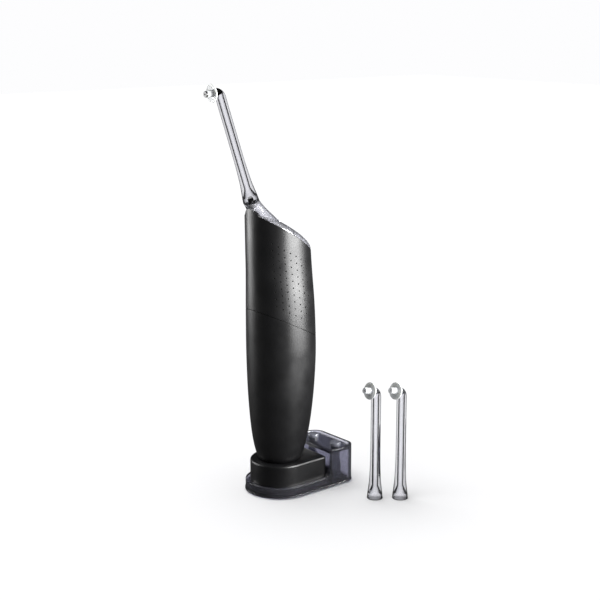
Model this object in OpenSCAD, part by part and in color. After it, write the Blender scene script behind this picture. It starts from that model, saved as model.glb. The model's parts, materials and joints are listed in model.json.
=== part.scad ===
// Cordless water flosser on its charger, with a nozzle storage tray and two spare nozzles.
// Millimetres. +Z is up and -Y is the front, where the nozzle points. The origin is on the
// underside, below the axis of the charging post. The assembly is symmetric about x = 0,
// apart from the pump drive, the cord gland and the spare nozzles.

/* [Tray] */
// Radius of the tray's round nose
skirt_r = 24.5; // [24.4:0.1:25]
// How far the sides draw in towards the back, in degrees
side_taper = 2; // [1.5:0.1:2.5]
// Distance from the post's axis to the back of the tray
tray_back = 53.6; // [52:0.2:55]
// Radius of the tray's back corners
corner_r = 8.5; // [7:0.5:10]
// Height of the ledge round the charger
ledge_z = 7.8; // [7:0.2:8.4]
// Front face of the nozzle holder
holder_front = 29; // [28.8:0.1:29.4]
// Height of the nozzle holder
holder_z = 28; // [27:0.5:29]
// Thickness of the rubber pad under the tray
pad_t = 0.8; // [0.6:0.1:1]
// Distance of each storage peg from the middle
peg_x = 12.6; // [11.5:0.1:13]
// Distance of the storage pegs from the post's axis
peg_y = 42; // [41:0.5:42.5]
// Radius of a storage peg's head
peg_r = 4.3; // [4.1:0.1:4.3]

/* [Charger] */
// Radius of the charger's round nose
charger_r = 21; // [20.5:0.1:21.1]
// Distance from the post's axis to the back of the charger
charger_back = 28; // [27:0.5:28.2]
// Height of the charger's top
charger_top = 23.5; // [23.2:0.1:23.6]
// Radius of the charging post
post_r = 5.4; // [5:0.1:5.4]
// Height of the charging post's tip
post_top = 33; // [31:0.5:33.5]
// Bore of the cord gland
cord_r = 1.6; // [1.4:0.1:1.8]

/* [Handset] */
// Wall thickness of the housings
shell_t = 1.8; // [1.6:0.1:1.9]
// Slope of the rim under the lid, in degrees
rim_slope = 32.8; // [32:0.2:33.4]
// Height of the rim plane on the rim's own axis
rim_z = 187.6; // [187:0.2:188]
// Height of the seam between the housings, on the axis
seam_z = 124.2; // [123:0.2:125]
// Slope of the seam, in degrees
seam_slope = 26.6; // [25:0.2:28]
// Outer radius of the water tank
tank_r = 16.5; // [16:0.1:16.6]
// Height of the lid's dome above the rim
dome_h = 5.9; // [5.6:0.1:6.1]

/* [Buttons] */
// Height of the activation button's middle
trigger_z = 153; // [152:0.5:154]
// Width of the activation button
trigger_w = 13; // [12:0.5:14]
// Length of the activation button
trigger_len = 21; // [20:0.5:22]
// Height of the power button's middle
power_z = 130; // [129:0.5:131]
// Radius of the power button
power_r = 5.2; // [5:0.1:5.5]

/* [Nozzle] */
// Forward lean of the nozzle, in degrees
nozzle_tilt = 18.8; // [18:0.2:19.4]
// Distance from the nozzle's foot to the middle of its bend
nozzle_len = 79; // [76:0.5:81]
// Outer radius of the nozzle's tube
tube_r = 3.55; // [3.4:0.05:3.7]
// Outer radius of the nozzle's foot
foot_r = 5.6; // [5.4:0.1:5.7]
// Angle of the tip to the tube, in degrees
tip_bend = 77; // [74:1:80]
// Radius of the guidance disc at the tip
disc_r = 6.1; // [5.8:0.1:6.3]

/* [Drive] */
// Module of the gear teeth
gear_m = 0.5; // [0.5:0.1:0.5]
// Teeth of the motor pinion
pinion_teeth = 8; // [8:1:8]
// Teeth of the drive gear
gear_teeth = 24; // [24:1:24]
// Height of the motor's axis
motor_z = 100; // [99.6:0.1:100.2]
// Radius of the pump's bore
pump_bore_r = 4.3; // [4.3:0.05:4.35]

/* [Hidden] */
$fn = 64;

far = 200;                        // longer than any part of the handset
gap = 0.3;                        // between pieces that move apart
tray_wall = 2;
pad_inset = 3;
flange_t = 0.9;
flange_w = 0.4;
cove_r = 6.5;                     // sweep of the ledge up into the holder
well_gap = 0.4;
floor_z = pad_t + 2;
charger_z0 = floor_z + gap;
plate_z = holder_z - 1.4;         // face of the holder's sunk top
plate_t = 1.6;
peg_top = plate_z + 2.8;
dish_z = charger_top - 1;
dish_r = 15.2;
gland_y = 17;
gland_z = 13;

// Outline of the handset: height, half width, half depth, place of the middle along Y.
// The front runs straight up and the back swells where the palm rests.
HOUSE = [[22.8, 13.4, 13.4, 0.3], [24.2, 15.3, 15.5, 0.3], [28.5, 16.9, 17.2, 0.35],
    [36, 18.6, 19.15, 0.45], [46, 20.3, 21.1, 0.9], [60, 21.7, 22.9, 1.35],
    [78, 22.9, 24.4, 1.75], [100, 23.6, 25.35, 2], [120, 23.4, 25.4, 1.75],
    [140, 22.65, 25.05, 1.25], [160, 21.6, 24.3, 0.4], [178, 21.05, 23.9, -0.4],
    [212, 21.1, 23.95, -0.8]];
handset_z0 = HOUSE[0][0];
SIDES = 48;
rim_y = -0.5;                     // the rim plane's own axis
rim_a = 20.85;                    // half axes of the rim's oval
rim_b = 28.2;

// The neck on the rim plane: step, front point (s, h), rear point (s, h), half width.
// s runs down the rim to the rear and h is the height above it.
NECK = [[0, -27.8, 0, -5.5, 3, 15.5], [1, -28.6, 1.2, -8, 6.2, 12.5],
    [2, -30.2, 2.2, -13.5, 7.9, 10], [3, -32.3, 3, -19, 9, 8.3],
    [4, -34.2, 3.5, -24.5, 10.4, 6.9], [5, -35.2, 3.75, -28.45, 12.05, 5.5]];
neck_t = 1.7;
seat_y = -23.3;                   // middle of the joint between neck and nozzle
seat_z = 211.8;

lid_s = -3.2;                     // front edge of the lid
mouth_s = 12.8;
mouth_r = 11.2;
lid_seal_r = 10.6;
hinge_s = -6.3;
hinge_h = 6;
knuckle_r = 1.6;
pin_r = 0.7;
lug_x = 2.4;                      // half width of the lid's hinge lug
ear_x = lug_x + 2.4;              // outer faces of the reservoir's hinge ears

tank_z0 = 150;
tank_t = 1.5;
recess_r = 5.8;
recess_top = 34.2;
cap_r = 9.4;

pitch = PI * gear_m;
pinion_r = pinion_teeth * gear_m / 2;
gear_r = gear_teeth * gear_m / 2;
gear_z = motor_z + pinion_r + gear_r;
drive_x = 9;                      // near face of the gears
drive_w = 4;
drive_y = 2;
shaft_r = 0.7;
axle_r = 1;
fit = 0.05;                       // radial clearance of a running fit
motor_r = 7.5;
motor_x0 = -12;
motor_x1 = 7.5;
pump_x = drive_x + drive_w / 2;
pump_y = drive_y + gear_r + 1.6;
pump_wall = 0.9;
pump_head_t = 2.6;
pump_z0 = 118;
pump_z1 = 146;
piston_z = 138.5;
piston_t = 4.5;
board_y = 16.6;
board_t = 1.2;
switch_t = 1.6;
pipe_y = -19.8;
pipe_r = 1.2;
pipe_top = 199.5;
jet_r = 1.6;
jet_z = -1.2;                     // inner end of the jet insert, in the tip's frame
nipple_top = 10.1;                // end of the disc's nipple, in the tip's frame

SPARES = [[58, 41], [69.2, 55]];  // where the spare nozzles stand

// ---------- shared shapes ----------

// Height to index, slope and value on a smooth curve through the rows of a table
function row(z, t, i = 0) = (i >= len(t) - 2 || z < t[i + 1][0]) ? i : row(z, t, i + 1);
function slope(t, i, c) = let (a = max(i - 1, 0), b = min(i + 1, len(t) - 1))
    (t[b][c] - t[a][c]) / (t[b][0] - t[a][0]);
function at(z, t, c) = let (i = row(z, t), w = t[i + 1][0] - t[i][0], u = (z - t[i][0]) / w)
    (2 * u ^ 3 - 3 * u ^ 2 + 1) * t[i][c] + (u ^ 3 - 2 * u ^ 2 + u) * w * slope(t, i, c)
    + (3 * u ^ 2 - 2 * u ^ 3) * t[i + 1][c] + (u ^ 3 - u ^ 2) * w * slope(t, i + 1, c);

// A closed skin over rings of points, from the bottom ring to the top one
module loft(rings) {
    n = len(rings[0]);
    top = (len(rings) - 1) * n;
    polyhedron(points = [for (r = rings) each r],
        faces = concat([[for (k = [0:n - 1]) k]], [[for (k = [n - 1:-1:0]) top + k]],
            [for (i = [0:n:top - n]) for (k = [0:n - 1]) [i + k, i + n + k, i + n + (k + 1) % n]],
            [for (i = [0:n:top - n]) for (k = [0:n - 1])
                [i + k, i + n + (k + 1) % n, i + (k + 1) % n]]));
}

// The handset's outline between two heights, drawn in by inset
module house(z0, z1, inset, step = 6) {
    n = ceil((z1 - z0) / step);
    loft([for (i = [0:n]) let (z = z0 + (z1 - z0) * i / n)
        [for (k = [0:SIDES - 1]) [(at(z, HOUSE, 1) - inset) * cos(360 * k / SIDES),
            at(z, HOUSE, 3) + (at(z, HOUSE, 2) - inset) * sin(360 * k / SIDES), z]]]);
}

// Frame of the sloping rim: Y runs down it to the rear and Z stands on it
module on_rim() translate([0, rim_y, rim_z]) rotate([-rim_slope, 0, 0]) children();
module under_rim(h = 0) on_rim() translate([-far / 2, -far, h - far]) cube([far, 2 * far, far]);
module over_rim(h = 0) on_rim() translate([-far / 2, -far, h]) cube([far, 2 * far, far]);
module over_seam(h) translate([0, 0, seam_z]) rotate([-seam_slope, 0, 0])
    translate([-far / 2, -far / 2, h]) cube(far);
module under_seam(h) translate([0, 0, seam_z]) rotate([-seam_slope, 0, 0])
    translate([-far / 2, -far / 2, h - far]) cube(far);

// Frame of the nozzle: Z runs up its tube from the joint with the neck
module on_seat() translate([0, seat_y, seat_z]) rotate([nozzle_tilt, 0, 0]) children();

// Outline of the tray and the charger: a round nose, sides that draw in, rounded back corners
module footprint(nose, back, corner) {
    c = cos(side_taper);
    s = sin(side_taper);
    cy = back - corner;
    cx = (nose - corner - cy * s) / c;
    circle(nose);
    for (m = [-1, 1]) translate([m * cx, cy]) circle(corner);
    polygon([[-nose * c, nose * s], [0, -1], [nose * c, nose * s], [cx + corner * c, cy + corner * s],
        [cx, back], [-cx, back], [-cx - corner * c, cy + corner * s]]);
}

module ring(r_out, r_in, z0, z1) translate([0, 0, z0]) difference() {
    cylinder(r = r_out, h = z1 - z0);
    translate([0, 0, -1]) cylinder(r = r_in, h = z1 - z0 + 2);
}

// A round-ended bar that stands on the handset's back and runs along Y
module bar_y(w, len, y0, y1) translate([0, y0, 0]) rotate([-90, 0, 0]) linear_extrude(y1 - y0) {
    for (m = [-1, 1]) translate([0, m * (len - w) / 2]) circle(w / 2);
    square([w, len - w], center = true);
}

module rod_y(r, y0, y1) translate([0, y0, 0]) rotate([-90, 0, 0]) cylinder(r = r, h = y1 - y0);
module rod_x(r, x0, x1) translate([x0, 0, 0]) rotate([0, 90, 0]) cylinder(r = r, h = x1 - x0);

// ---------- tray ----------

module tray_outline(grow = 0) footprint(skirt_r + grow, tray_back + grow, corner_r + grow);

module tray_well() translate([0, 0, floor_z]) linear_extrude(far)
    footprint(charger_r + well_gap, charger_back + well_gap, 2.9);

module tray_dish() color("DimGray", 0.6) difference() {
    union() {
        translate([0, 0, pad_t]) linear_extrude(ledge_z - pad_t) tray_outline();
        translate([0, 0, pad_t]) linear_extrude(flange_t) tray_outline(flange_w);
        intersection() {
            translate([0, 0, pad_t]) linear_extrude(holder_z - pad_t) tray_outline();
            translate([-far / 2, holder_front, 0]) cube([far, far, holder_z]);
        }
        // the ledge sweeps up into the holder on each side
        intersection() {
            linear_extrude(holder_z) tray_outline();
            difference() {
                translate([-far / 2, holder_front - cove_r, ledge_z - 0.1]) cube([far, cove_r + 0.1, cove_r]);
                translate([0, holder_front - cove_r, ledge_z + cove_r]) rod_x(cove_r, -far / 2, far / 2);
            }
        }
    }
    tray_well();
    // hollow of the holder, closed by the sunk plate
    intersection() {
        translate([0, 0, floor_z]) linear_extrude(far) tray_outline(-tray_wall);
        translate([-far / 2, holder_front + tray_wall, 0]) cube(far);
    }
}

module tray_pad() color("Black") linear_extrude(pad_t) tray_outline(-pad_inset);

module holder_plate() color("DimGray", 0.6) difference() {
    intersection() {
        translate([0, 0, plate_z - plate_t]) linear_extrude(plate_t) tray_outline(-tray_wall);
        translate([-far / 2, holder_front + tray_wall, 0]) cube(far);
    }
    for (m = [-1, 1]) translate([m * peg_x, peg_y, 0]) cylinder(r = peg_r - 1.4, h = far);
}

// A mushroom peg on a post that stands on the holder's floor
module storage_peg() translate([0, peg_y, 0]) rotate_extrude()
    polygon([[0, floor_z], [3.6, floor_z], [3.6, 15], [2.9, 15.7], [2.9, plate_z], [peg_r, plate_z],
        [peg_r, peg_top - 0.5], [peg_r - 0.5, peg_top], [0, peg_top]]);

module holder_peg_left() color("SlateGray", 0.7) translate([-peg_x, 0, 0]) storage_peg();
module holder_peg_right() color("SlateGray", 0.7) translate([peg_x, 0, 0]) storage_peg();

// ---------- charger ----------

charger_wall = 1.8;
base_t = 2;
screw_r = 1;
screw_head_r = 1.9;
screw_len = 8;
boss_r = 2.8;
gland_r = 2.4;
board_top = 9;

module charger_slice(z0, z1, inset) translate([0, 0, z0]) linear_extrude(z1 - z0)
    footprint(charger_r - inset, charger_back - inset, 2.5 - inset);

module gland_place() translate([0, gland_y, gland_z]) children();

module charger_shell() color([0.07, 0.07, 0.07]) difference() {
    union() {
        charger_slice(charger_z0, charger_top - 1.3, 0);
        charger_slice(charger_top - 1.4, charger_top - 0.6, 0.4);
        charger_slice(charger_top - 0.7, charger_top, 1.1);
    }
    difference() {
        charger_slice(charger_z0 - 1, dish_z - charger_wall, charger_wall);
        at_screws() translate([0, 0, base_t]) cylinder(r = boss_r, h = far);
    }
    at_screws() cylinder(r = screw_r, h = screw_len);
    translate([0, 0, dish_z]) cylinder(r = dish_r, h = far);
    cylinder(r = post_r, h = far);
    gland_place() rod_x(gland_r, -far, 0);
}

module charger_base_plate() color([0.12, 0.12, 0.12]) difference() {
    charger_slice(charger_z0, charger_z0 + base_t, charger_wall);
    charger_screws();
}

module at_screws() for (m = [-1, 1], y = [-12, 22]) translate([m * 12, y, charger_z0]) children();

// Screws that hold the base plate, with their heads sunk in its underside
module charger_screws() color("Silver") at_screws() {
    cylinder(r = screw_head_r, h = 1);
    cylinder(r = screw_r, h = screw_len);
}

// A closed sleeve with a flange under the charger's top
module charging_post() color([0.05, 0.05, 0.05]) rotate_extrude()
    polygon([[4.7, dish_z - charger_wall - 1.4], [8.5, dish_z - charger_wall - 1.4],
        [8.5, dish_z - charger_wall], [post_r, dish_z - charger_wall], [post_r, post_top - 1],
        [post_r - 1, post_top], [0, post_top], [0, post_top - 0.8], [4.7, post_top - 0.8]]);

module charger_coil() color("Chocolate") ring(4.6, 3, 23, 31.5);
module charger_core() color("DarkSlateGray") translate([0, 0, board_top]) cylinder(r = 2.9, h = 23);

module charger_board() color("DarkGreen") difference() {
    translate([-13, -9, board_top - 1.6]) cube([26, 30, 1.6]);
    at_screws() cylinder(r = boss_r + 0.7, h = far);
}

// Strain relief for the supply cord, on the side that faces away
module cord_gland() color([0.1, 0.1, 0.1]) gland_place() difference() {
    union() {
        rod_x(gland_r, -charger_r - 3.6, -charger_r + 2.6);
        rod_x(3.4, -charger_r + 2.6, -charger_r + 3.8);
        rod_x(3.1, -charger_r - 1.4, -charger_r - 0.2);
    }
    rod_x(cord_r, -far, 0);
}

// ---------- handset housings ----------

// The front of the upper housing rises into a small arch before the neck
arch_r = 6;
arch_z = 200.8;
arch_back = -23.1;
module arch(r) translate([0, 0, arch_z]) rod_y(r, -40, arch_back);

module upper_housing() color([0.08, 0.08, 0.08]) difference() {
    intersection() {
        house(105, 211, 0);
        over_seam(0.15);
        union() {
            under_rim();
            arch(arch_r);
        }
    }
    house(104, 212, shell_t);
    translate([0, 0, trigger_z]) bar_y(trigger_w + 2 * 0.35, trigger_len + 2 * 0.35, 5, 40);
    translate([0, 0, power_z]) rod_y(power_r + 0.35, 5, 40);
    lens_place() rod_y(lens_r, 5, 40);
}

module lower_housing() color([0.08, 0.08, 0.08]) difference() {
    intersection() {
        house(handset_z0, 142.8, 0, 5);
        under_seam(-0.15);
    }
    house(handset_z0 + 2, 144.8, shell_t, 5);
    cylinder(r = cap_r, h = 40);
}

// Inner band that joins the housings and shows as the dark line of the seam
module seam_ring() color([0.03, 0.03, 0.03]) difference() {
    intersection() {
        house(100, 148, shell_t + 0.06);
        over_seam(-4);
        under_seam(4);
    }
    house(99, 149, shell_t + 1.1);
}

// Cup that the charging post enters
module bottom_cap() color([0.06, 0.06, 0.06]) rotate_extrude()
    polygon([[recess_r, handset_z0 + 0.2], [cap_r, handset_z0 + 0.2], [cap_r, handset_z0 + 2],
        [recess_r + 1, handset_z0 + 2], [recess_r + 1, recess_top + 1], [0, recess_top + 1],
        [0, recess_top], [recess_r, recess_top]]);

module bottom_gasket() color("DimGray") ring(cap_r + 2, recess_r + 1, handset_z0 + 2, handset_z0 + 3.2);

// ---------- reservoir ----------

function neck_ring(t, inset) = let (f = [at(t, NECK, 1), at(t, NECK, 2)], g = [at(t, NECK, 3),
    at(t, NECK, 4)], b = norm(g - f) / 2, e = (g - f) / (2 * b), m = (f + g) / 2,
    a = at(t, NECK, 5) - inset)
    [for (k = [0:31]) let (q = m + e * (b - inset) * sin(k * 11.25)) [a * cos(k * 11.25), q.x, q.y]];

module neck_outer() on_rim() loft([for (i = [0:12]) neck_ring(i * 5 / 12, 0)]);
module neck_inner() on_rim() loft(concat([[for (p = neck_ring(0, neck_t)) p - [0, 0, 5]]],
    [for (i = [0:11]) neck_ring(i * 5 / 12, neck_t)]));

// The dome over the rim, whose front half is part of the reservoir and whose rear is the lid
module dome(inset) on_rim() loft([for (i = [0:7]) let (q = i * 12, k = pow(cos(q), 2 / 3))
    [for (j = [0:SIDES - 1]) [(rim_a - inset) * k * cos(360 * j / SIDES),
        (rim_b - inset) * k * sin(360 * j / SIDES), (dome_h - inset) * sin(q)]]]);

module half_rim(s0, s1) on_rim() translate([-far / 2, s0, -far / 2]) cube([far, s1 - s0, far]);

module reservoir() color("White", 0.4) difference() {
    union() {
        intersection() {
            dome(0);
            half_rim(-far, lid_s - 0.4);
        }
        difference() {
            neck_outer();
            under_rim();
        }
        // deck inside the rim
        on_rim() translate([0, 0, -1.6]) linear_extrude(1.6) {
            circle(18.6);
            for (m = [-1, 1]) translate([0, m * 11.5]) circle(14);
        }
        intersection() {
            translate([0, rim_y, tank_z0]) cylinder(r = tank_r, h = 60);
            under_rim();
        }
        intersection() {
            on_rim() translate([0, mouth_s, -9.5]) cylinder(r = mouth_r + tank_t, h = 9.5);
            house(150, 205, shell_t + 0.3);
        }
        on_hinge() {
            rod_x(knuckle_r, -ear_x, ear_x);
            translate([-ear_x, -knuckle_r, -3.6]) cube([2 * ear_x, 2 * knuckle_r, 3.6]);
        }
    }
    // room for the lid's lug
    on_hinge() {
        rod_x(knuckle_r + 0.6, -lug_x - 0.4, lug_x + 0.4);
        translate([-lug_x - 0.4, 0, -knuckle_r - 0.6]) cube([2 * lug_x + 0.8, 10, 10]);
        rod_x(pin_r, -10, 10);
    }
    difference() {
        neck_inner();
        on_seat() translate([-far / 2, -far / 2, -2.2]) cube(far);
    }
    // tank and its slanted mouth
    intersection() {
        translate([0, rim_y, tank_z0 + tank_t]) cylinder(r = tank_r - tank_t, h = 60);
        under_rim(-1.6);
    }
    on_rim() translate([0, mouth_s, -8]) cylinder(r = mouth_r, h = 20);
    arch(arch_r + 0.1);
    on_seat() {
        cylinder(r = 2.6, h = 20, center = true);
        translate([-far / 2, -far / 2, -0.15]) cube(far);
        key_block();
    }
}

module on_hinge() on_rim() translate([0, hinge_s, hinge_h]) children();

// Grey block behind the seal that keeps the nozzle from turning
module key_block() translate([-1.8, 2.7, -2.4]) cube([3.6, 2.2, 2.1]);
module nozzle_key() color("Gray") on_seat() key_block();

module nozzle_spigot() color("LightGray") on_seat() difference() {
    union() {
        translate([0, 0, -10.2]) cylinder(r = 1.4, h = 14.4);
        translate([0, 0, -10.9]) sphere(1.9);
    }
    cylinder(r = 0.7, h = 40, center = true);
}

// Black sleeve round the spigot, and the small ring above it
module spigot_seal() color("Black") on_seat() rotate_extrude() {
    polygon([[1.4, -4.2], [2.6, -4.2], [2.6, -0.3], [1.4, -0.3]]);
    polygon([[1.4, 0.6], [1.9, 0.6], [1.9, 3.2], [1.4, 3.2]]);
    polygon([[1.4, -0.4], [1.6, -0.4], [1.6, 0.7], [1.4, 0.7]]);
}

module hinge_pin() color("Silver") on_hinge() rod_x(pin_r, -ear_x, ear_x);

// ---------- lid ----------

module reservoir_lid() color("White", 0.5) {
    difference() {
        union() {
            intersection() {
                difference() {
                    dome(0);
                    dome(1.7);
                }
                half_rim(lid_s, far);
                over_rim(gap);
            }
            // front wall, seal carrier and finger lip
            intersection() {
                dome(0.2);
                half_rim(lid_s, lid_s + 1.5);
                over_rim(gap);
            }
            intersection() {
                dome(0.2);
                on_rim() translate([0, mouth_s, 0]) ring(lid_seal_r, lid_seal_r - 1.5, gap, 9);
            }
            on_rim() translate([-4.5, rim_b - 2.6, 0.7]) cube([9, 4, 1.6]);
            on_hinge() {
                rod_x(knuckle_r, -lug_x, lug_x);
                translate([-lug_x, 0, -1.4]) cube([2 * lug_x, 7.4, 1.9]);
            }
        }
        on_hinge() rod_x(pin_r + fit, -10, 10);
    }
}

module lid_seal() color("DimGray") on_rim() translate([0, mouth_s, 0])
    ring(lid_seal_r, lid_seal_r - 1.5, -1.3, gap);

// ---------- inner parts ----------

module chassis() color("Gainsboro") {
    difference() {
        union() {
            translate([-11, -9.5, 38]) cube([22, 1.8, 107]);
            translate([0, 0.5, 36.5]) cylinder(r = 13, h = 1.5);
            translate([0, 0.5, 89]) cylinder(r = 15, h = 1.5);
            // cradle of the motor
            translate([motor_x0 + 2, -5, 90]) cube([14, 14, 5]);
            // bracket of the drive gear's axle
            translate([drive_x + drive_w + 1.2, -9.5, 90]) cube([1.8, 15, 24]);
            translate([9, -9.5, 104]) cube([drive_x + drive_w + 3 - 9, 1.8, 10]);
            // arm of the pump
            translate([pump_x - 3, -8, 129]) cube([6, 10, 3]);
        }
        at_motor() rod_x(motor_r, -20, 20);
        at_gear() rod_x(axle_r, 0, 30);
        at_pump() cylinder(r = pump_bore_r + pump_wall, h = far);
    }
}

module at_motor() translate([0, drive_y, motor_z]) children();
module at_gear() translate([0, drive_y, gear_z]) children();
module at_pump() translate([pump_x, pump_y, 0]) children();

module battery() color("SteelBlue") translate([0, 2, 38]) cylinder(r = 7.2, h = 48);
module battery_cap() color("Gold") translate([0, 2, 86]) cylinder(r = 2.6, h = 3);

module receiving_coil() color("Chocolate") ring(9.2, recess_r + 1.1, handset_z0 + 3.6, 33.4);

module motor() color("Silver") at_motor() difference() {
    union() {
        rod_x(motor_r, motor_x0, motor_x1 - 1);
        rod_x(2.6, motor_x1 - 1, motor_x1);
        rod_x(1.6, motor_x0 - 1.2, motor_x0);
    }
    rod_x(shaft_r + fit, 0, 20);
}

module motor_shaft() color("LightSteelBlue") at_motor() rod_x(shaft_r, 0.5, drive_x + drive_w + 0.6);

// A wheel of straight-sided teeth, with one tooth on +X and play for smooth running
module teeth(n, bore) difference() {
    r = n * gear_m / 2;
    union() {
        circle(r - 0.45);
        for (i = [0:n - 1]) rotate(i * 360 / n)
            polygon([[r - 0.8, -0.24 * pitch], [r + 0.33, -0.11 * pitch], [r + 0.33, 0.11 * pitch],
                [r - 0.8, 0.24 * pitch]]);
    }
    circle(bore);
}

module motor_pinion() color("Goldenrod") at_motor() translate([drive_x, 0, 0])
    rotate([0, 90, 0]) linear_extrude(drive_w) teeth(pinion_teeth, shaft_r);

// The tooth gaps face the pinion below and the rack behind
module drive_gear() color("Ivory") at_gear() difference() {
    translate([drive_x, 0, 0]) rotate([0, 90, 0]) linear_extrude(drive_w)
        rotate(180 / gear_teeth) teeth(gear_teeth, axle_r + fit);
    for (a = [30:60:330]) rotate([a, 0, 0]) translate([0, 3.5, 0]) rod_x(1.1, 0, 30);
}

module gear_axle() color("Silver") at_gear() rod_x(axle_r, drive_x - 1, drive_x + drive_w + 3);

module pump_cylinder() color("WhiteSmoke", 0.8) at_pump() difference() {
    translate([0, 0, pump_z0]) cylinder(r = pump_bore_r + pump_wall, h = pump_z1 - pump_z0);
    translate([0, 0, pump_z0 + 1.5]) cylinder(r = pump_bore_r, h = far);
    cylinder(r = 2.75, h = far);
}

module pump_head() color("WhiteSmoke") at_pump() translate([0, 0, pump_z1])
    cylinder(r = pump_bore_r + pump_wall, h = pump_head_t);

module inlet_valve() color("DimGray") at_pump() translate([-2, -1.5, pump_z1 + pump_head_t])
    cylinder(r = 1.8, h = tank_z0 - pump_z1 - pump_head_t);

// Runs from the pump head under the tank and up its front to the spigot
module water_pipe() color("White", 0.6) {
    z = pump_z1 + pump_head_t / 2;
    run = norm([pump_x, pump_y - pipe_y]);
    difference() {
        translate([0, pipe_y, z]) rotate([-90, 0, -atan2(pump_x, pump_y - pipe_y)])
            cylinder(r = pipe_r, h = run - pump_bore_r - pump_wall + 0.1);
        at_pump() translate([0, 0, pump_z1 - 1]) cylinder(r = pump_bore_r + pump_wall, h = 6);
    }
    translate([0, pipe_y, z]) sphere(pipe_r);
    translate([0, pipe_y, z]) cylinder(r = pipe_r, h = pipe_top - z);
}

// The rack bar and the piston head are one moulding
module pump_piston() color("Ivory") at_pump() {
    bar_y0 = gear_r + drive_y + 0.45 - pump_y;
    difference() {
        translate([0, 0, piston_z]) cylinder(r = pump_bore_r - fit, h = piston_t);
        ring(pump_bore_r + 1, 3.4, piston_z + 1.4, piston_z + 3);
    }
    translate([-1.8, bar_y0, gear_z - 3.5]) cube([3.6, 2.3, piston_z - gear_z + 3.6]);
    for (i = [-1:5]) translate([1.8, bar_y0, gear_z + i * pitch]) rotate([0, -90, 0])
        linear_extrude(3.6) polygon([[-0.24 * pitch, 0.3], [-0.11 * pitch, -0.78],
            [0.11 * pitch, -0.78], [0.24 * pitch, 0.3]]);
}

module piston_seal() color("Black") at_pump()
    ring(pump_bore_r - 0.02, 3.4, piston_z + 1.45, piston_z + 2.95);

// Coil spring that drives the piston up when the drive gear lets go
module pump_spring() color("Silver") at_pump() {
    turns = 6;
    wire = 0.35;
    mean = 3.6;
    z0 = pump_z0 + 1.5 + wire;
    rise = piston_z - wire - z0;
    steps = turns * 12;
    loft([for (i = [0:steps]) let (a = 360 * turns * (1 - i / steps))
        [for (k = [0:5]) [(mean + wire * cos(60 * k)) * cos(a), (mean + wire * cos(60 * k)) * sin(a),
            z0 + rise * (1 - i / steps) + wire * sin(60 * k)]]]);
}

module circuit_board() color("DarkGreen")
    translate([-8.5, board_y, 114]) cube([17, board_t, 50]);

module button_switches() color("DimGray") for (z = [trigger_z, power_z])
    translate([-2.6, board_y + board_t, z - 2.6]) cube([5.2, switch_t, 5.2]);

lens_r = 1.5;
module lens_place() translate([0, 0, 119]) children();
module indicator_lens() color("White", 0.8) lens_place() intersection() {
    rod_y(lens_r, 24.6, 30);
    translate([0, 0, -119]) house(105, 141, 0);
}

// ---------- buttons ----------

switch_y = board_y + board_t + switch_t;

module activation_button() color([0.13, 0.13, 0.13]) translate([0, 0, trigger_z]) {
    intersection() {
        translate([0, 0, -trigger_z]) house(135, 171, -0.9);
        bar_y(trigger_w, trigger_len, 20.6, 40);
        translate([-far / 2, 21, -far / 2]) cube(far);
    }
    bar_y(6, trigger_len + 3.4, 21, 21.9);
}

module power_button() color([0.13, 0.13, 0.13]) translate([0, 0, power_z]) {
    intersection() {
        translate([0, 0, -power_z]) house(111, 153, -0.7);
        rod_y(power_r, 22.6, 40);
    }
    bar_y(5, 2 * power_r + 3, 22.6, 23.4);
    rod_y(1.4, switch_y + 1.3, 22.7);
}

// ---------- nozzles ----------

// Frame of the tip: Z points out of the nozzle
module on_tip() translate([0, 0, nozzle_len]) rotate([tip_bend, 0, 0]) children();

module tube_piece() difference() {
    union() {
        rotate_extrude() polygon([[0, 0.15], [foot_r, 0.15], [foot_r - 0.1, 1.2], [foot_r - 0.75, 7.2],
            [foot_r - 1.4, 13], [tube_r + 0.35, 19], [tube_r + 0.12, 26], [tube_r, 34],
            [tube_r, nozzle_len], [0, nozzle_len]]);
        translate([0, 0, nozzle_len]) sphere(tube_r);
        on_tip() cylinder(r = 3.1, h = 4.6);
    }
    // socket for the spigot and the water way
    rotate_extrude() polygon([[0, 0], [4.4, 0], [4.4, 3.15], [3, 4.4], [1.5, 10],
        [1.5, nozzle_len - 1], [0, nozzle_len - 1]]);
    on_tip() translate([0, 0, jet_z]) cylinder(r = jet_r, h = 10);
}

// White cup-shaped disc with its nipple
module disc_piece() on_tip() rotate_extrude()
    polygon([[jet_r, 4.6], [3.4, 4.6], [disc_r, 5.5], [disc_r, 6.3], [2.5, 5.9], [2.3, 6.3],
        [2.2, nipple_top], [jet_r, nipple_top]]);

// Dark jet insert that runs through the disc
module jet_piece() on_tip() difference() {
    union() {
        translate([0, 0, jet_z]) cylinder(r = jet_r, h = nipple_top - jet_z);
        translate([0, 0, nipple_top]) cylinder(r = 2.1, h = 1.2);
    }
    translate([0, 0, jet_z - 1]) cylinder(r = 0.5, h = 20);
}

module stand(i) translate([SPARES[i].x, SPARES[i].y, -0.15]) children();

module nozzle_tube() color("White", 0.4) on_seat() tube_piece();
module nozzle_disc() color("White") on_seat() disc_piece();
module nozzle_jet() color([0.15, 0.15, 0.15]) on_seat() jet_piece();
module spare_1_tube() color("White", 0.4) stand(0) tube_piece();
module spare_1_disc() color("White") stand(0) disc_piece();
module spare_1_jet() color([0.15, 0.15, 0.15]) stand(0) jet_piece();
module spare_2_tube() color("White", 0.4) stand(1) tube_piece();
module spare_2_disc() color("White") stand(1) disc_piece();
module spare_2_jet() color([0.15, 0.15, 0.15]) stand(1) jet_piece();

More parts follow.
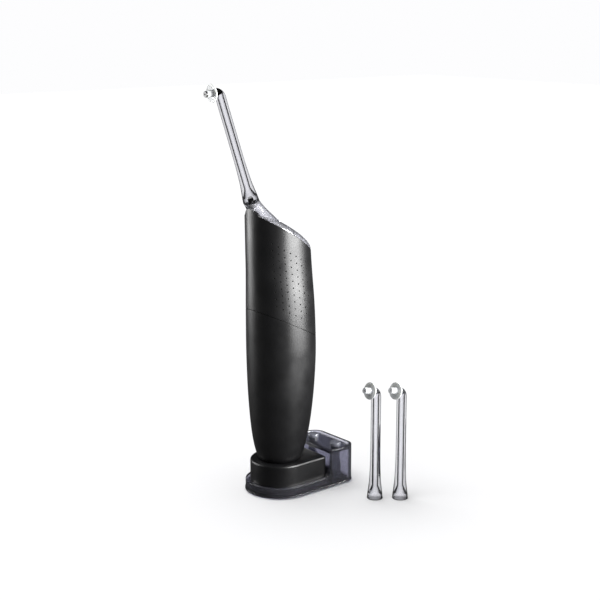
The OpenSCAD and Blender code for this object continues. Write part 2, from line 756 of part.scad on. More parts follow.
tray_dish();
tray_pad();
holder_plate();
holder_peg_left();
holder_peg_right();
charger_shell();
charger_base_plate();
charger_screws();
charging_post();
charger_coil();
charger_core();
charger_board();
cord_gland();
upper_housing();
lower_housing();
seam_ring();
bottom_cap();
bottom_gasket();
reservoir();
nozzle_spigot();
spigot_seal();
nozzle_key();
hinge_pin();
chassis();
battery();
battery_cap();
receiving_coil();
motor();
gear_axle();
pump_cylinder();
pump_head();
inlet_valve();
water_pipe();
circuit_board();
button_switches();
indicator_lens();
reservoir_lid();
lid_seal();
activation_button();
power_button();
motor_pinion();
motor_shaft();
drive_gear();
pump_piston();
piston_seal();
pump_spring();
nozzle_tube();
nozzle_disc();
nozzle_jet();
spare_1_tube();
spare_1_disc();
spare_1_jet();
spare_2_tube();
spare_2_disc();
spare_2_jet();
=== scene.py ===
# %% [markdown]
# # A water flosser on its charger
# The object is a cordless water flosser. A black handle stands on a charger, the charger sits in a
# smoky see-through tray with two pegs for spare nozzles, and a clear nozzle leans forward from the
# top. The moving frame of the model is already there: every piece has its place and its body. This
# script gives the pieces their surfaces. Where the frame's shape is right, its node stays and gets a
# finish. Where the eye needs a softer edge or a finer curve, a new piece takes the node's place.

# %% Load the frame
import json
import math

import bmesh
import bpy
from mathutils import Matrix, Vector

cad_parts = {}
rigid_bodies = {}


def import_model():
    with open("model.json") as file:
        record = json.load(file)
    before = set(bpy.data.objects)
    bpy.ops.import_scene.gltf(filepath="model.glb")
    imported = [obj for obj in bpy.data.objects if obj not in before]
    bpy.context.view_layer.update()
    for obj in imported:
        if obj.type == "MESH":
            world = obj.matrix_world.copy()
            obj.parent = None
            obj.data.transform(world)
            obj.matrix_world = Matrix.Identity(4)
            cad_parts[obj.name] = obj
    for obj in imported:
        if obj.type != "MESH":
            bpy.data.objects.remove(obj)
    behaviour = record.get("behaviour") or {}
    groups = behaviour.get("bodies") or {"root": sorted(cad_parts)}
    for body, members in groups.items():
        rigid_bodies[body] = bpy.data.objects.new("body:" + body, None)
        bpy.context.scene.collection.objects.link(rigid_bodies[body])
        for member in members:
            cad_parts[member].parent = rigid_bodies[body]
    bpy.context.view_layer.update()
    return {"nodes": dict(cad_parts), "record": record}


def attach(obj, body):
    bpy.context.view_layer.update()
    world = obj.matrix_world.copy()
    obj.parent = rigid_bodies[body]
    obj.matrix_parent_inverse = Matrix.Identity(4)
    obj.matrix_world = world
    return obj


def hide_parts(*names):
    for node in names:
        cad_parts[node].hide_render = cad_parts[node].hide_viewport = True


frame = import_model()
MM = 0.001

# %% [markdown]
# ## Helpers for shaders
# Colours are written the way a paint chart gives them, as sRGB hex, and one function turns them into
# the linear values that a renderer adds and multiplies. One more function adds a shader node, sets
# its fields and links its inputs, which keeps each material short enough to read in one go. Some
# nodes keep hidden sockets of the same name for other kinds of data, so only the live one is used.

# %% Colour and node helpers
def linear(code, dim=1.0):
    """A hex colour such as 1b1b1c as linear red, green, blue and alpha, dimmed if need be"""
    parts = [int(code[i:i + 2], 16) / 255 for i in (0, 2, 4)]
    return [dim * (c / 12.92 if c <= 0.04045 else ((c + 0.055) / 1.055) ** 2.4) for c in parts] + [1]


def add(tree, kind, inputs=None, **settings):
    """Adds one shader node and returns its first live output. An input is a value or an output"""
    made = tree.nodes.new("ShaderNode" + kind)
    for field, value in settings.items():
        setattr(made, field, value)
    for name, value in (inputs or {}).items():
        socket = next(s for s in made.inputs if s.name == name and s.enabled)
        if isinstance(value, bpy.types.NodeSocket):
            tree.links.new(value, socket)
        else:
            socket.default_value = value
    return next((s for s in made.outputs if s.enabled), None)


def start(name):
    """A new empty material, its node tree, and the object coordinates in metres"""
    material = bpy.data.materials.new(name)
    material.use_nodes = True
    material.node_tree.nodes.clear()
    add(material.node_tree, "TexCoord")
    place = material.node_tree.nodes[0].outputs["Object"]
    return material, material.node_tree, place


def noise(tree, place, size_mm, detail=2.0):
    """A noise whose blobs are about size_mm across"""
    return add(tree, "TexNoise", {"Vector": place, "Scale": 1 / (size_mm * MM), "Detail": detail})


def spread(tree, value, low, high):
    """Carries the middle of a noise over to a range of values"""
    return add(tree, "MapRange", {"Value": value, "From Min": 0.3, "From Max": 0.7,
                                  "To Min": low, "To Max": high})


def close(material, tree, surface):
    """Links the finished shader to the output"""
    add(tree, "OutputMaterial", {"Surface": surface})
    return material


# %% [markdown]
# ## Moulded plastic and rubber
# A plastic part copies the skin of its steel mould. Spark erosion leaves the mould covered in tiny
# pits, so the part is satin, and where a hand or a cloth rubs it the satin turns a little glossier.
# Two noises give this: a fine one for the pits, as bump, and a broad one that moves the roughness
# and the tone. Real pits are near 0.05 mm across, too fine to show, so they are drawn at 0.3 mm.

# %% Moulded skins
def moulded(name, colour, rough, wander=0.05, pit_mm=0.3, depth_mm=0.004, patch_mm=14, **shader):
    """A moulded skin: rough is the mean roughness and wander how far it strays from that"""
    material, tree, place = start(name)
    pits = noise(tree, place, pit_mm)
    patches = noise(tree, place, patch_mm, 3.0)
    bump = add(tree, "Bump", {"Height": pits, "Strength": 0.6, "Distance": depth_mm * MM})
    tone = add(tree, "Mix", {"Factor": patches, "A": linear(colour, 0.85), "B": linear(colour)},
               data_type="RGBA")
    return close(material, tree, add(tree, "BsdfPrincipled", {
        "Base Color": tone, "Roughness": spread(tree, patches, rough - wander, rough + wander),
        "Normal": bump, **shader}))


housing_abs = moulded("abs_satin_black", "09090a", 0.36)
# The dimple floors get a darker, duller black with little shine: painted shade in the recesses
dimple_painted_shade_abs = moulded("abs_painted_dimple_shade_black", "040404", 0.8, **{"Specular IOR Level": 0.15})
charger_abs = moulded("abs_fine_satin_black", "080809", 0.38, pit_mm=0.25,
                      **{"Specular IOR Level": 0.3})
seam_abs = moulded("abs_matt_black", "060606", 0.6)
button_abs = moulded("abs_dark_grey_satin", "1e1e20", 0.38)
gloss_abs = moulded("abs_polished_black", "0a0a0b", 0.12, wander=0.03, depth_mm=0.001)
jet_acetal = moulded("acetal_black", "0c0c0e", 0.3)
pale_acetal = moulded("acetal_pale_grey", "a9abad", 0.35)
natural_pp = moulded("polypropylene_natural", "dcdcd6", 0.45, **{"Subsurface Weight": 0.2,
                     "Subsurface Radius": (0.002, 0.002, 0.002), "Subsurface Scale": 1.0})
gear_acetal = moulded("acetal_natural", "e4dfd0", 0.35)
grey_nylon = moulded("nylon_mid_grey", "6f7276", 0.5)
black_rubber = moulded("nitrile_rubber_black", "0d0d0e", 0.65, pit_mm=0.5, depth_mm=0.01)
grey_rubber = moulded("silicone_rubber_grey", "5a5b5e", 0.6, pit_mm=0.6, depth_mm=0.01)
ferrite = moulded("sintered_ferrite", "1c1c1e", 0.7, pit_mm=0.4, depth_mm=0.03)
sleeve = moulded("shrink_sleeve_blue", "1d4f8c", 0.25, pit_mm=3, depth_mm=0.05)
print("moulded skins:", len(bpy.data.materials))

# %% [markdown]
# ## Clear and smoky plastic
# The nozzle, the neck and the lid are polished polycarbonate, and the tray is the same with a smoky
# dye. Light bends through them, so the shader is a transmitting one with the plastic's own index of
# refraction. Where the surface turns away from the eye, a facing term mixes in a darker edge colour.
# In the smoky tray this stands partly for the longer sight line through the dye. In the clear parts,
# and for the rest in the tray, it is painted shade that draws the dark edge lines.
# Moulding leaves faint flow lines, a few millimetres long and a few hundredths of one deep. The
# thick neck and the pegs let a little less light through than the thin tubes, and look milky.

# %% Transmitting plastic
def see_through(name, face, edge, rough, index, bend=0.35, wave_mm=4.0, depth_mm=0.02, **shader):
    """Face is the colour looked straight through. Edge is the darker colour at a grazing sight line,
    painted shade that draws dark edge lines
    """
    material, tree, place = start(name)
    flow = noise(tree, place, wave_mm, 2.0)
    bump = add(tree, "Bump", {"Height": flow, "Strength": 0.4, "Distance": depth_mm * MM})
    # The edge colour mixed in where the surface turns away is painted shade, in the smoky tray partly
    # the dye's longer path
    facing = add(tree, "LayerWeight", {"Blend": bend})
    facing = facing.node.outputs["Facing"]
    tint_and_painted_edge_shade = add(tree, "Mix", {"Factor": facing, "A": linear(face), "B": linear(edge)},
               data_type="RGBA")
    return close(material, tree, add(tree, "BsdfPrincipled", {
        "Base Color": tint_and_painted_edge_shade, "Roughness": spread(tree, flow, rough * 0.7, rough * 1.3),
        "IOR": index, "Normal": bump, **{"Transmission Weight": 1.0, **shader}}))


# The second colour of each is its darker edge colour: painted shade at grazing sight lines
clear_pc = see_through("polycarbonate_clear", "fafafd", "44464e", 0.03, 1.45, 0.5,
                       **{"Specular IOR Level": 0.35})
neck_pc = see_through("polycarbonate_clear_thick", "f2f2f7", "7c7e88", 0.05, 1.45, 0.5,
                      **{"Specular IOR Level": 0.35, "Transmission Weight": 0.9})
smoked_pc = see_through("polycarbonate_smoked", "c4c4d2", "5a5a68", 0.12, 1.5,
                        **{"Transmission Weight": 0.98})
plate_pc = see_through("polycarbonate_smoked_dark", "8d8f9d", "3c3d46", 0.1, 1.5)
peg_pc = see_through("polycarbonate_smoked_grey", "858791", "45464e", 0.12, 1.5,
                     **{"Transmission Weight": 0.6})
lens_pc = see_through("polycarbonate_frosted", "eef6f2", "b4beb9", 0.45, 1.5)
tip_tpe = moulded("elastomer_white", "b8babb", 0.35, **{"Subsurface Weight": 0.5,
                  "Subsurface Radius": (0.002, 0.002, 0.0018), "Subsurface Scale": 1.0,
                  "Transmission Weight": 0.15})

# %% [markdown]
# ## Metal, winding and board
# Drawn steel has fine lines along its length, so its noise is stretched along one axis. A winding is
# a stack of round wires, and a wave gives their ribs. A board is green lacquer over copper tracks,
# and straight cells of a brick pattern stand for the tracks, raised by the copper's thickness.

# %% Metal
def drawn_metal(name, colour, rough, stretch=(1, 1, 0.05), line_mm=0.25):
    """A drawn or turned metal with lines along the axis that is stretched least"""
    material, tree, place = start(name)
    along = add(tree, "Mapping", {"Vector": place, "Scale": stretch})
    lines = noise(tree, along, line_mm, 3.0)
    bump = add(tree, "Bump", {"Height": lines, "Strength": 0.4, "Distance": 0.004 * MM})
    return close(material, tree, add(tree, "BsdfPrincipled", {
        "Base Color": linear(colour), "Metallic": 1.0, "Normal": bump,
        "Roughness": spread(tree, lines, rough - 0.06, rough + 0.06)}))


steel = drawn_metal("steel_drawn", "b9babd", 0.28)
axle_steel = drawn_metal("steel_ground", "c4c5c8", 0.2, (0.05, 1, 1))
brass = drawn_metal("brass_turned", "c9a24c", 0.25, (0.05, 1, 1))


# %% [markdown]
# The winding and the board need their own patterns: ribs that run round the coil, and tracks that
# stand a little above the lacquer.

# %% Winding and board
def ribbed(name, colour, pitch_mm):
    """Enamelled wire wound round a vertical axis, one rib a turn"""
    material, tree, place = start(name)
    ribs = add(tree, "TexWave", {"Vector": place, "Scale": 1 / (20 * pitch_mm * MM) * math.tau,
                                 "Distortion": 0.3}, bands_direction="Z")
    bump = add(tree, "Bump", {"Height": ribs, "Strength": 0.8, "Distance": 0.3 * pitch_mm * MM})
    return close(material, tree, add(tree, "BsdfPrincipled", {
        "Base Color": linear(colour), "Metallic": 0.9, "Normal": bump,
        "Roughness": spread(tree, ribs, 0.2, 0.35)}))


def lacquered_board(name, lacquer, track):
    """Green lacquer over copper tracks about a millimetre wide"""
    material, tree, place = start(name)
    tracks = add(tree, "TexBrick", {"Vector": place, "Scale": 1 / (6 * MM), "Mortar Size": 0.06,
                                    "Color1": linear(lacquer), "Color2": linear(lacquer, 0.8),
                                    "Mortar": linear(track)})
    raised = tracks.node.outputs["Fac"]
    bump = add(tree, "Bump", {"Height": raised, "Strength": 0.7, "Distance": 0.05 * MM})
    return close(material, tree, add(tree, "BsdfPrincipled", {
        "Base Color": tracks, "Normal": bump, "Roughness": spread(tree, raised, 0.3, 0.4)}))


copper = ribbed("copper_enamelled", "b8683a", 0.4)
board = lacquered_board("board_green", "0f4d27", "2c7a45")
print("materials:", len(bpy.data.materials))

# %% [markdown]
# ## Helpers for pieces
# A round or oval body can be made by carrying one ring of edges along: extrude the ring, then move
# the new ring to its next place. Each place is a matrix that says how wide the ring is, how it lies
# and where its middle is. Heights between the few measured rows come from a smooth curve.

# %% Rings carried along
def between(table, x):
    """The values of a table at x, on a smooth curve through its rows"""
    i = max(k for k in range(len(table) - 1) if k == 0 or table[k][0] <= x)
    width = table[i + 1][0] - table[i][0]
    u = (x - table[i][0]) / width

    def lean(k, c):
        a, b = table[max(k - 1, 0)], table[min(k + 1, len(table) - 1)]
        return (b[c] - a[c]) / (b[0] - a[0])

    return [(2 * u**3 - 3 * u**2 + 1) * table[i][c] + (u**3 - 2 * u**2 + u) * width * lean(i, c)
            + (3 * u**2 - 2 * u**3) * table[i + 1][c] + (u**3 - u**2) * width * lean(i + 1, c)
            for c in range(1, len(table[0]))]


def carried(places, sides):
    """A closed skin: a circle carried through the places, with a face over each end"""
    bm = bmesh.new()
    ring = bmesh.ops.create_circle(bm, segments=sides, radius=1)["verts"]
    bmesh.ops.transform(bm, matrix=places[0], verts=ring)
    edges = bm.edges[:]
    bmesh.ops.contextual_create(bm, geom=edges)
    for before, after in zip(places, places[1:]):
        made = bmesh.ops.extrude_edge_only(bm, edges=edges)["geom"]
        ring = [g for g in made if isinstance(g, bmesh.types.BMVert)]
        edges = [g for g in made if isinstance(g, bmesh.types.BMEdge)]
        bmesh.ops.transform(bm, matrix=after @ before.inverted(), verts=ring)
    bmesh.ops.contextual_create(bm, geom=edges)
    bmesh.ops.recalc_face_normals(bm, faces=bm.faces)
    return bm


def loose(bm, name="cutter"):
    """An object for a bmesh that is still being worked on"""
    mesh = bpy.data.meshes.new(name)
    bm.to_mesh(mesh)
    bm.free()
    piece = bpy.data.objects.new(name, mesh)
    bpy.context.scene.collection.objects.link(piece)
    return piece


def cut(piece, cutter, how="DIFFERENCE"):
    """Cuts a piece with another, which is used up"""
    tool = piece.modifiers.new("cut", "BOOLEAN")
    tool.object, tool.operation, tool.solver = cutter, how, "MANIFOLD"
    tool.material_mode = "TRANSFER"
    shape = piece.evaluated_get(bpy.context.evaluated_depsgraph_get())
    mesh = bpy.data.meshes.new_from_object(shape)
    piece.modifiers.clear()
    piece.data = mesh
    bpy.data.objects.remove(cutter)
    return piece


# %% [markdown]
# A finished piece is shaded smooth, except across edges that really are edges. Then it is given its
# finish and tied to the body it rides on, and the nodes it takes the place of are hidden. Pieces
# whose node already has the right form start from a copy of the node: its loose triangles are
# merged, its flat faces joined up, and a small bevel softens the edges, as every moulded edge is.

# %% Finishing a piece
def settle(piece, body, finish, nodes=(), sharp=32):
    """Shades a piece, gives it its finish and ties it to the frame"""
    bm = bmesh.new()
    bm.from_mesh(piece.data)
    for face in bm.faces:
        face.smooth = True
    for edge in bm.edges:
        edge.smooth = edge.calc_face_angle(0) < math.radians(sharp)
    bm.to_mesh(piece.data)
    bm.free()
    if len(piece.data.materials) < 2:
        piece.data.materials.clear()
        piece.data.materials.append(finish)
    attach(piece, body)
    if nodes:
        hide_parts(*nodes)
    print(piece.name, "has", len(piece.data.polygons), "faces")


BODY_OF = {n: b for b, ns in frame["record"]["behaviour"]["bodies"].items() for n in ns}
MERGE_MM, FLAT = 0.003, math.radians(0.4)


def softened(node, name, finish, width_mm, segments=3, angle=38, sharp=32):
    """A copy of a node with its edges rounded"""
    bm = bmesh.new()
    bm.from_mesh(frame["nodes"][node].data)
    bmesh.ops.remove_doubles(bm, verts=bm.verts, dist=MERGE_MM * MM)
    bmesh.ops.dissolve_limit(bm, angle_limit=FLAT, verts=bm.verts, edges=bm.edges)
    piece = loose(bm, name)
    settle(piece, BODY_OF[node], finish, [node], sharp)
    if width_mm:
        bevel = piece.modifiers.new("softened edges", "BEVEL")
        bevel.width, bevel.segments = width_mm * MM, segments
        bevel.limit_method, bevel.angle_limit = "ANGLE", math.radians(angle)
        bevel.harden_normals = True


# %% [markdown]
# ## The handle
# The handle is an oval tube: straight at the front, swelling at the back where the palm rests. It is
# moulded in two halves that meet in a slanting seam. Each row below gives a height, the oval's half
# width and half depth, and the place of its middle. The halves are made from the same skin, an outer
# one less an inner one, and are then parted along the seam and trimmed along the slanting rim.

# %% The oval skin
HANDLE = [[22.8, 13.4, 13.4, 0.3], [24.2, 15.3, 15.5, 0.3], [28.5, 16.9, 17.2, 0.35],
          [36, 18.6, 19.15, 0.45], [46, 20.3, 21.1, 0.9], [60, 21.7, 22.9, 1.35],
          [78, 22.9, 24.4, 1.75], [100, 23.6, 25.35, 2], [120, 23.4, 25.4, 1.75],
          [140, 22.65, 25.05, 1.25], [160, 21.6, 24.3, 0.4], [178, 21.05, 23.9, -0.4],
          [212, 21.1, 23.95, -0.8]]
WALL = 1.8
RIM_SLOPE, RIM_Y, RIM_Z = math.radians(32.8), -0.5, 187.6
SEAM_SLOPE, SEAM_Z, SEAM_GAP = math.radians(26.6), 124.2, 0.15
SLAB_WIDE, SLAB_DEEP = 100, 160


def oval(z, inset=0.0):
    """Place of the handle's oval at height z, drawn in by inset"""
    half_x, half_y, middle = between(HANDLE, z)
    return (Matrix.Translation(Vector((0, middle, z)) * MM)
            @ Matrix.Diagonal((half_x - inset, half_y - inset, 1 / MM, 1 / MM)) * MM)


def skin(low, high, inset=0.0, step=2.0, sides=128):
    """The handle's closed skin between two heights, drawn in by inset"""
    count = math.ceil((high - low) / step)
    heights = [low + (high - low) * i / count for i in range(count + 1)]
    return loose(carried([oval(z, inset) for z in heights], sides))


def slab(slope, y, z, low, high):
    """A big block on a slanting plane through (y, z), from low to high above that plane"""
    bm = bmesh.new()
    bmesh.ops.create_cube(bm, size=1)
    bmesh.ops.scale(bm, vec=Vector((SLAB_WIDE, SLAB_DEEP, high - low)) * MM, verts=bm.verts)
    bmesh.ops.translate(bm, vec=Vector((0, 0, (high + low) / 2)) * MM, verts=bm.verts)
    bmesh.ops.rotate(bm, matrix=Matrix.Rotation(-slope, 3, "X"), verts=bm.verts)
    bmesh.ops.translate(bm, vec=Vector((0, y, z)) * MM, verts=bm.verts)
    return loose(bm)


def rod(radius, start_at, end_at, sides=64):
    """A round rod between two points"""
    start_at, end_at = Vector(start_at), Vector(end_at)
    run = end_at - start_at
    turn = run.to_track_quat("Z", "Y").to_matrix().to_4x4()
    middle = Matrix.Translation((start_at + end_at) / 2 * MM) @ turn
    bm = bmesh.new()
    bmesh.ops.create_cone(bm, cap_ends=True, segments=sides, radius1=radius * MM,
                          radius2=radius * MM, depth=run.length * MM, matrix=middle)
    return loose(bm)


# %% [markdown]
# The sides of the upper half carry rows of small dimples, so that wet fingers don't slip. They stand
# in slanting rows that follow the rim, each column half a step lower than the one before it, and
# the columns lean a little backwards on their way down. Each dimple is pressed in by a small ball,
# and its floor is in shade from nearly every side. Its faces are also given a darker, duller black
# with little shine, painted shade that deepens the dark dot.

# %% Grip dimples
BALL, DEPTH, BALL_POINTS = 0.62, 0.34, 42
COLUMN_START, COLUMN_STEP, COLUMNS = 45.6, 10.6, 11
ROW_PITCH, FIRST_ROW, ROW_DROP, ROW_TURN = 4.85, 184.0, 2.42, 0.4
SEAM_MARGIN = 7.0


def grip_balls():
    """One mesh of balls, sunk by DEPTH into the sides of the handle"""
    bm = bmesh.new()
    for side in (-1, 1):
        for column in range(COLUMNS):
            turn = math.radians(COLUMN_START + COLUMN_STEP * column)
            z = FIRST_ROW - ROW_DROP * column
            while True:
                half_x, half_y, middle = between(HANDLE, z)
                spot = Vector((side * half_x * math.sin(turn), middle - half_y * math.cos(turn), z))
                if z < SEAM_Z - spot.y * math.tan(SEAM_SLOPE) + SEAM_MARGIN:
                    break
                out = Vector((side * math.sin(turn) / half_x, -math.cos(turn) / half_y, 0))
                centre = spot + out.normalized() * (BALL - DEPTH)
                bmesh.ops.create_icosphere(bm, subdivisions=2, radius=BALL * MM,
                                           matrix=Matrix.Translation(centre * MM))
                z -= ROW_PITCH
                turn += math.radians(ROW_TURN)
    return bm


# %% [markdown]
# The upper half is cut out of a tall tube. At its front a round arch reaches above the slanting rim,
# up towards the foot of the nozzle. It is kept aside while the rim is trimmed, and joined on again
# afterwards.

# %% The upper half
UPPER_LOW, UPPER_TOP, FAR = 105, 211, 100
ARCH_LOW, ARCH_R, ARCH_Z, ARCH_FROM, ARCH_TO = 190, 9, 197.8, -40, -20
INNER_STEP, INNER_SIDES = 4, 96


def tube(low, high):
    """The handle's skin less its inside, open at both ends"""
    return cut(skin(low, high), skin(low - 1, high + 1, WALL, INNER_STEP, INNER_SIDES))


upper = tube(UPPER_LOW, UPPER_TOP)
cut(upper, slab(SEAM_SLOPE, 0, SEAM_Z, -FAR, SEAM_GAP))
arch = tube(ARCH_LOW, UPPER_TOP)
cut(arch, rod(ARCH_R, (0, ARCH_FROM, ARCH_Z), (0, ARCH_TO, ARCH_Z)), "INTERSECT")
cut(upper, slab(RIM_SLOPE, RIM_Y, RIM_Z, 0, FAR))
cut(upper, arch, "UNION")
balls = loose(grip_balls())
# The balls hand the dimple faces their darker black, which is painted shade
balls.data.materials.append(dimple_painted_shade_abs)
upper.data.materials.clear()
upper.data.materials.append(housing_abs)
print("dimples:", len(balls.data.vertices) // BALL_POINTS)
cut(upper, balls)

# %% [markdown]
# At the back are the openings of the two buttons and of the charge light. Each button has a little
# air round it, so that it can travel.

# %% Openings for the buttons
TRIGGER_Z, TRIGGER_W, TRIGGER_L = 153, 13, 21
POWER_Z, POWER_R, LENS_Z, LENS_R, AIR = 130, 5.2, 119, 1.5, 0.35
BACK_FROM, BACK_TO = 5, 40


def back_rod(radius, z):
    """A rod out through the back of the handle at a height"""
    return rod(radius, (0, BACK_FROM, z), (0, BACK_TO, z))


def stadium(width, length, z):
    """A round-ended bar out through the back of the handle"""
    reach = (length - width) / 2
    bar = cut(back_rod(width / 2, z - reach), back_rod(width / 2, z + reach), "UNION")
    bm = bmesh.new()
    bmesh.ops.create_cube(bm, size=1)
    bmesh.ops.scale(bm, vec=Vector((width, BACK_TO - BACK_FROM, 2 * reach)) * MM, verts=bm.verts)
    bmesh.ops.translate(bm, vec=Vector((0, (BACK_FROM + BACK_TO) / 2, z)) * MM, verts=bm.verts)
    return cut(bar, loose(bm), "UNION")


cut(upper, stadium(TRIGGER_W + 2 * AIR, TRIGGER_L + 2 * AIR, TRIGGER_Z))
cut(upper, back_rod(POWER_R + AIR, POWER_Z))
cut(upper, back_rod(LENS_R, LENS_Z))
upper.name = "handle_upper"
settle(upper, "handset", housing_abs, ["upper_housing"])

# %% [markdown]
# The lower half is closed at its foot, but for a round hole that takes the bottom cap.

# %% The lower half
LOWER_LOW, LOWER_TOP, LOWER_FLOOR = 22.8, 142.8, 2
CUP_R, CUP_TOP = 9.4, 40
lower = skin(LOWER_LOW, LOWER_TOP)
cut(lower, skin(LOWER_LOW + LOWER_FLOOR, LOWER_TOP + LOWER_FLOOR, WALL, INNER_STEP, INNER_SIDES))
cut(lower, slab(SEAM_SLOPE, 0, SEAM_Z, -SEAM_GAP, FAR))
cut(lower, rod(CUP_R, (0, 0, 0), (0, 0, CUP_TOP)))
lower.name = "handle_lower"
settle(lower, "handset", housing_abs, ["lower_housing"])

# %% [markdown]
# ## The charger
# The charger's outline is the tightest band round three discs: a large one at the nose and two small
# ones at the back corners. So the block is the convex hull of three short cylinders. Its flat faces
# are joined up, its top edge is rounded over in a soft curve that catches the light, and the
# shallow dish for the handle's foot is cut into the top.

# %% Outline blocks
SIDE_TAPER, FLUSH, SAME_MM = math.radians(2), math.radians(0.2), 0.01


def block(nose, back, corner, low, high, sides=128):
    """A solid on the band round a nose disc and two corner discs"""
    corner_y = back - corner
    corner_x = (nose - corner - corner_y * math.sin(SIDE_TAPER)) / math.cos(SIDE_TAPER)
    discs = [(nose, 0, 0), (corner, corner_x, corner_y), (corner, -corner_x, corner_y)]
    bm = bmesh.new()
    for radius, x, y in discs:
        place = Matrix.Translation(Vector((x, y, (low + high) / 2)) * MM)
        bmesh.ops.create_cone(bm, segments=sides, radius1=radius * MM, radius2=radius * MM,
                              depth=(high - low) * MM, matrix=place)
    bmesh.ops.delete(bm, geom=bm.edges[:] + bm.faces[:], context="EDGES_FACES")
    bmesh.ops.convex_hull(bm, input=bm.verts)
    bmesh.ops.delete(bm, geom=[v for v in bm.verts if not v.link_faces], context="VERTS")
    bmesh.ops.dissolve_limit(bm, angle_limit=FLUSH, verts=bm.verts, edges=bm.edges)
    return bm


def rounded(bm, height, radius, segments=6):
    """Rounds over the edges that lie at a height"""
    rim = [e for e in bm.edges
           if all(abs(v.co.z - height * MM) < SAME_MM * MM for v in e.verts)]
    bmesh.ops.bevel(bm, geom=rim, offset=radius * MM, segments=segments, affect="EDGES",
                    profile=0.5, material=-1)
    return bm


# %% [markdown]
# The shell is hollow below, with a hole for the charging post and one for the cord's gland.

# %% The charger's shell
CHARGER_NOSE, CHARGER_BACK, CHARGER_CORNER = 21, 28, 2.5
CHARGER_LOW, CHARGER_TOP, CHARGER_WALL = 3.1, 23.5, 1.8
CHARGER_ROUND, CLEAR_ABOVE = 1.7, 40
DISH_R, DISH_Z, DISH_SIDES, POST_R = 15.2, 22.5, 96, 5.4
GLAND_Y, GLAND_Z, GLAND_R, GLAND_FROM = 17, 13, 2.4, -40
shell = loose(rounded(block(CHARGER_NOSE, CHARGER_BACK, CHARGER_CORNER, CHARGER_LOW, CHARGER_TOP),
                      CHARGER_TOP, CHARGER_ROUND), "charger_cover")
hollow = block(CHARGER_NOSE - CHARGER_WALL, CHARGER_BACK - CHARGER_WALL,
               CHARGER_CORNER - CHARGER_WALL, CHARGER_LOW - 1, DISH_Z - CHARGER_WALL)
cut(shell, loose(hollow))
cut(shell, rod(DISH_R, (0, 0, DISH_Z), (0, 0, CLEAR_ABOVE), DISH_SIDES))
cut(shell, rod(POST_R, (0, 0, 0), (0, 0, CLEAR_ABOVE)))
cut(shell, rod(GLAND_R, (GLAND_FROM, GLAND_Y, GLAND_Z), (0, GLAND_Y, GLAND_Z)))
settle(shell, "charger", charger_abs, ["charger_shell"])
for node, name, finish, width in (("charger_base_plate", "charger_floor", charger_abs, 0.4),
                                  ("charging_post", "post_sleeve", gloss_abs, 0.3),
                                  ("cord_gland", "cord_sleeve", black_rubber, 0.3)):
    softened(node, name, finish, width)

# %% [markdown]
# ## The tray
# The tray is one smoky moulding: a ledge round the charger, a hollow block at the back for the two
# pegs, and a sweep between them. Its walls show the pegs' posts through them. All of this is in the
# nodes already, so copies of them get rounded edges, wider on the big outer ones.

# %% Tray, plate and pegs
softened("tray_dish", "tray_moulding", smoked_pc, 0.55, 4)
softened("holder_plate", "holder_top", plate_pc, 0.3)
for side in ("left", "right"):
    softened("holder_peg_" + side, "peg_" + side, peg_pc, 0.4)
softened("tray_pad", "tray_foot_pad", black_rubber, 0.2)

# %% [markdown]
# ## The nozzles
# A nozzle is a thick-walled clear tube. Its foot flares over a socket, its bore is a thin channel,
# and its tip turns forward in a soft bend. The skin of all of that is one ring carried along: from
# the blind end of the bore down to the socket, round the foot's edge, and up the outside to the tip.
# The same skin serves the fitted nozzle and the two spare ones, only its place differs.

# %% A nozzle's skin
NOZZLE_LEN, TIP_BEND, BEND_R, TUBE_R = 79, math.radians(77), 4.6, 3.55
TIP_RUN, TIP_R = 4.6, 3.1
FOOT = [[0.15, 5.6], [1.2, 5.5], [4, 5.25], [7.2, 4.85], [13, 4.2], [19, 3.9], [26, 3.67],
        [34, 3.55], [60, 3.55]]
BORE = [(78, 1.5), (10, 1.5), (7, 2.2), (4.4, 3), (3.15, 4.4), (0.15, 4.4)]
RINGS_UP, RINGS_BEND, CROWDING, NOZZLE_SIDES = 40, 12, 1.3, 48


def flat_ring(z, radius):
    """A level ring at a height"""
    return (Matrix.Translation(Vector((0, 0, z)) * MM)
            @ Matrix.Diagonal((radius * MM, radius * MM, 1, 1)))


def bend_ring(turn, radius, beyond=0.0):
    """A ring round the bend, after turning that far, and a little way beyond"""
    straight = NOZZLE_LEN - BEND_R * math.tan(TIP_BEND / 2)
    middle = Vector((0, -BEND_R * (1 - math.cos(turn)), straight + BEND_R * math.sin(turn)))
    middle += beyond * Vector((0, -math.sin(turn), math.cos(turn)))
    return (Matrix.Translation(middle * MM) @ Matrix.Rotation(turn, 4, "X")
            @ Matrix.Diagonal((radius * MM, radius * MM, 1, 1)))


def nozzle_skin():
    """One skin: down the bore, round the foot's edge, up the outside and round the bend"""
    straight = NOZZLE_LEN - BEND_R * math.tan(TIP_BEND / 2)
    last = TIP_RUN - BEND_R * math.tan(TIP_BEND / 2)
    places = [flat_ring(z, radius) for z, radius in BORE]
    for i in range(RINGS_UP + 1):
        z = FOOT[0][0] + (straight - FOOT[0][0]) * (i / RINGS_UP) ** CROWDING
        places.append(flat_ring(z, between(FOOT, min(z, FOOT[-1][0]))[0]))
    for i in range(1, RINGS_BEND + 1):
        share = i / RINGS_BEND
        places.append(bend_ring(TIP_BEND * share, TUBE_R + (TIP_R - TUBE_R) * share))
    places.append(bend_ring(TIP_BEND, TIP_R, last))
    return carried(places, NOZZLE_SIDES)


# %% [markdown]
# The fitted nozzle leans with the spigot under it, and the spares stand upright beside the tray. Each
# one ends in a soft white cup, with a jet in it: black on the fitted nozzle, pale on the spares.

